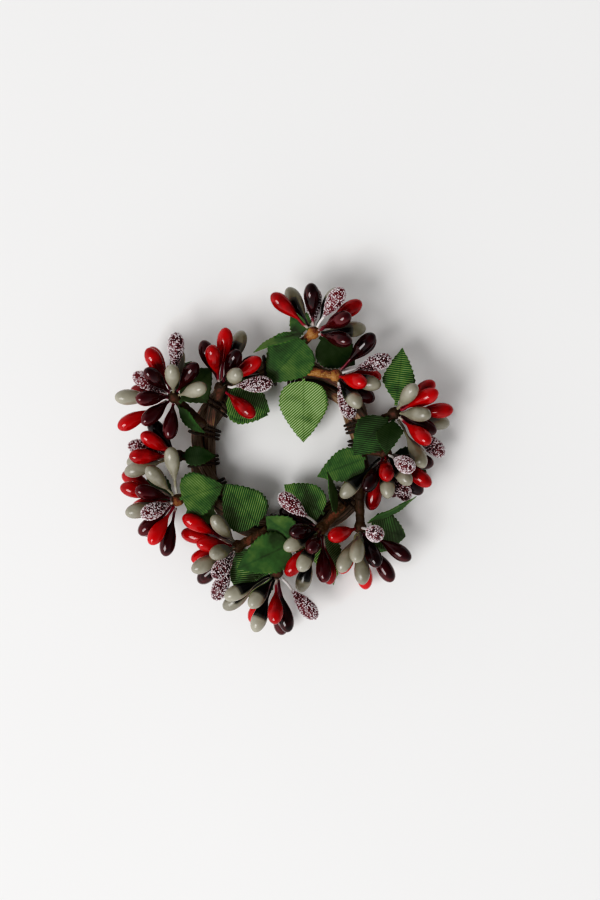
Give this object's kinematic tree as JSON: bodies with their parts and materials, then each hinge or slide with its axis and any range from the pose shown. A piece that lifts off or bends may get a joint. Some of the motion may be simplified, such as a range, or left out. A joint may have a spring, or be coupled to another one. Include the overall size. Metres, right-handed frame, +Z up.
{
  "type": "candle ring",
  "caption": "Small wreath-shaped candle ring: a twisted vine hoop with wired sprays of lacquered pip berries and cloth leaves round an open middle where a candle stands.",
  "frame": {"origin": "middle of the vine hoop, on the surface that the ring rests on, where the candle stands", "axes": "+Z up out of the table; +Y towards the top of the picture, +X towards its right"},
  "size_m": [0.1109, 0.1158, 0.0361],
  "materials": {
    "red_lacquer": "glossy red dip",
    "burgundy_lacquer": "glossy dark burgundy dip",
    "sage_lacquer": "satin grey-green dip",
    "frosted_grain": "white grains over dark red",
    "vine": "dry brown grapevine bark",
    "paper_wire": "brown paper-covered wire",
    "paper_tape": "brown floral paper tape",
    "leaf_cloth": "ribbed green cloth"
  },
  "bodies": {
    "ring": {"leaves_back": "leaf_cloth", "leaves_front": "leaf_cloth", "leaves_left": "leaf_cloth", "leaves_right": "leaf_cloth", "taped_stems": "paper_tape", "vine_strand_1": "vine", "vine_strand_2": "vine", "vine_strand_3": "vine", "wire_windings": "paper_wire"},
    "pick_01": {"pick_01_burgundy_pips": "burgundy_lacquer", "pick_01_frosted_pips": "frosted_grain", "pick_01_red_pips": "red_lacquer", "pick_01_sage_pips": "sage_lacquer"},
    "pick_02": {"pick_02_burgundy_pips": "burgundy_lacquer", "pick_02_frosted_pips": "frosted_grain", "pick_02_red_pips": "red_lacquer", "pick_02_sage_pips": "sage_lacquer"},
    "pick_03": {"pick_03_burgundy_pips": "burgundy_lacquer", "pick_03_frosted_pips": "frosted_grain", "pick_03_red_pips": "red_lacquer", "pick_03_sage_pips": "sage_lacquer"},
    "pick_04": {"pick_04_burgundy_pips": "burgundy_lacquer", "pick_04_frosted_pips": "frosted_grain", "pick_04_red_pips": "red_lacquer", "pick_04_sage_pips": "sage_lacquer"},
    "pick_05": {"pick_05_burgundy_pips": "burgundy_lacquer", "pick_05_frosted_pips": "frosted_grain", "pick_05_red_pips": "red_lacquer", "pick_05_sage_pips": "sage_lacquer"},
    "pick_06": {"pick_06_burgundy_pips": "burgundy_lacquer", "pick_06_frosted_pips": "frosted_grain", "pick_06_red_pips": "red_lacquer", "pick_06_sage_pips": "sage_lacquer"},
    "pick_07": {"pick_07_burgundy_pips": "burgundy_lacquer", "pick_07_frosted_pips": "frosted_grain", "pick_07_red_pips": "red_lacquer", "pick_07_sage_pips": "sage_lacquer"},
    "pick_08": {"pick_08_burgundy_pips": "burgundy_lacquer", "pick_08_frosted_pips": "frosted_grain", "pick_08_red_pips": "red_lacquer", "pick_08_sage_pips": "sage_lacquer"},
    "pick_09": {"pick_09_burgundy_pips": "burgundy_lacquer", "pick_09_frosted_pips": "frosted_grain", "pick_09_red_pips": "red_lacquer", "pick_09_sage_pips": "sage_lacquer"},
    "pick_10": {"pick_10_burgundy_pips": "burgundy_lacquer", "pick_10_frosted_pips": "frosted_grain", "pick_10_red_pips": "red_lacquer", "pick_10_sage_pips": "sage_lacquer"},
    "pick_11": {"pick_11_burgundy_pips": "burgundy_lacquer", "pick_11_frosted_pips": "frosted_grain", "pick_11_red_pips": "red_lacquer", "pick_11_sage_pips": "sage_lacquer"},
    "pick_12": {"pick_12_burgundy_pips": "burgundy_lacquer", "pick_12_frosted_pips": "frosted_grain", "pick_12_red_pips": "red_lacquer", "pick_12_sage_pips": "sage_lacquer"}
  },
  "joints": [
    {"name": "pick_01_bend", "type": "hinge", "parent": "ring", "child": "pick_01", "pos_m": [0.00998, 0.03845, 0.01597], "axis": [0.8454, -0.5342, 0], "range_deg": [0, 12]},
    {"name": "pick_02_bend", "type": "hinge", "parent": "ring", "child": "pick_02", "pos_m": [0.01721, 0.02461, 0.01447], "axis": [-0.116, -0.9933, 0], "range_deg": [0, 12]},
    {"name": "pick_03_bend", "type": "hinge", "parent": "ring", "child": "pick_03", "pos_m": [0.0366, 0.01203, 0.01496], "axis": [-0.2096, -0.9778, 0], "range_deg": [0, 12]},
    {"name": "pick_04_bend", "type": "hinge", "parent": "ring", "child": "pick_04", "pos_m": [0.0337, -0.001, 0.01396], "axis": [-0.9476, -0.3193, 0], "range_deg": [0, 12]},
    {"name": "pick_05_bend", "type": "hinge", "parent": "ring", "child": "pick_05", "pos_m": [0.02541, -0.02538, 0.01396], "axis": [-0.9951, -0.0987, 0], "range_deg": [0, 12]},
    {"name": "pick_06_bend", "type": "hinge", "parent": "ring", "child": "pick_06", "pos_m": [0.01286, -0.02577, 0.01447], "axis": [-0.7343, 0.6788, 0], "range_deg": [0, 12]},
    {"name": "pick_07_bend", "type": "hinge", "parent": "ring", "child": "pick_07", "pos_m": [-0.00201, -0.04029, 0.01396], "axis": [-0.9463, 0.3232, 0], "range_deg": [0, 12]},
    {"name": "pick_08_bend", "type": "hinge", "parent": "ring", "child": "pick_08", "pos_m": [-0.01485, -0.0317, 0.01396], "axis": [-0.2041, 0.979, 0], "range_deg": [0, 12]},
    {"name": "pick_09_bend", "type": "hinge", "parent": "ring", "child": "pick_09", "pos_m": [-0.03467, -0.01651, 0.01396], "axis": [-0.0427, 0.9991, 0], "range_deg": [0, 12]},
    {"name": "pick_10_bend", "type": "hinge", "parent": "ring", "child": "pick_10", "pos_m": [-0.03453, -0.00198, 0.01396], "axis": [0.1812, 0.9834, 0], "range_deg": [0, 12]},
    {"name": "pick_11_bend", "type": "hinge", "parent": "ring", "child": "pick_11", "pos_m": [-0.03582, 0.01739, 0.01546], "axis": [0.7353, 0.6777, 0], "range_deg": [0, 12]},
    {"name": "pick_12_bend", "type": "hinge", "parent": "ring", "child": "pick_12", "pos_m": [-0.02048, 0.02062, 0.01447], "axis": [0.7739, -0.6333, 0], "range_deg": [0, 12]}
  ]
}
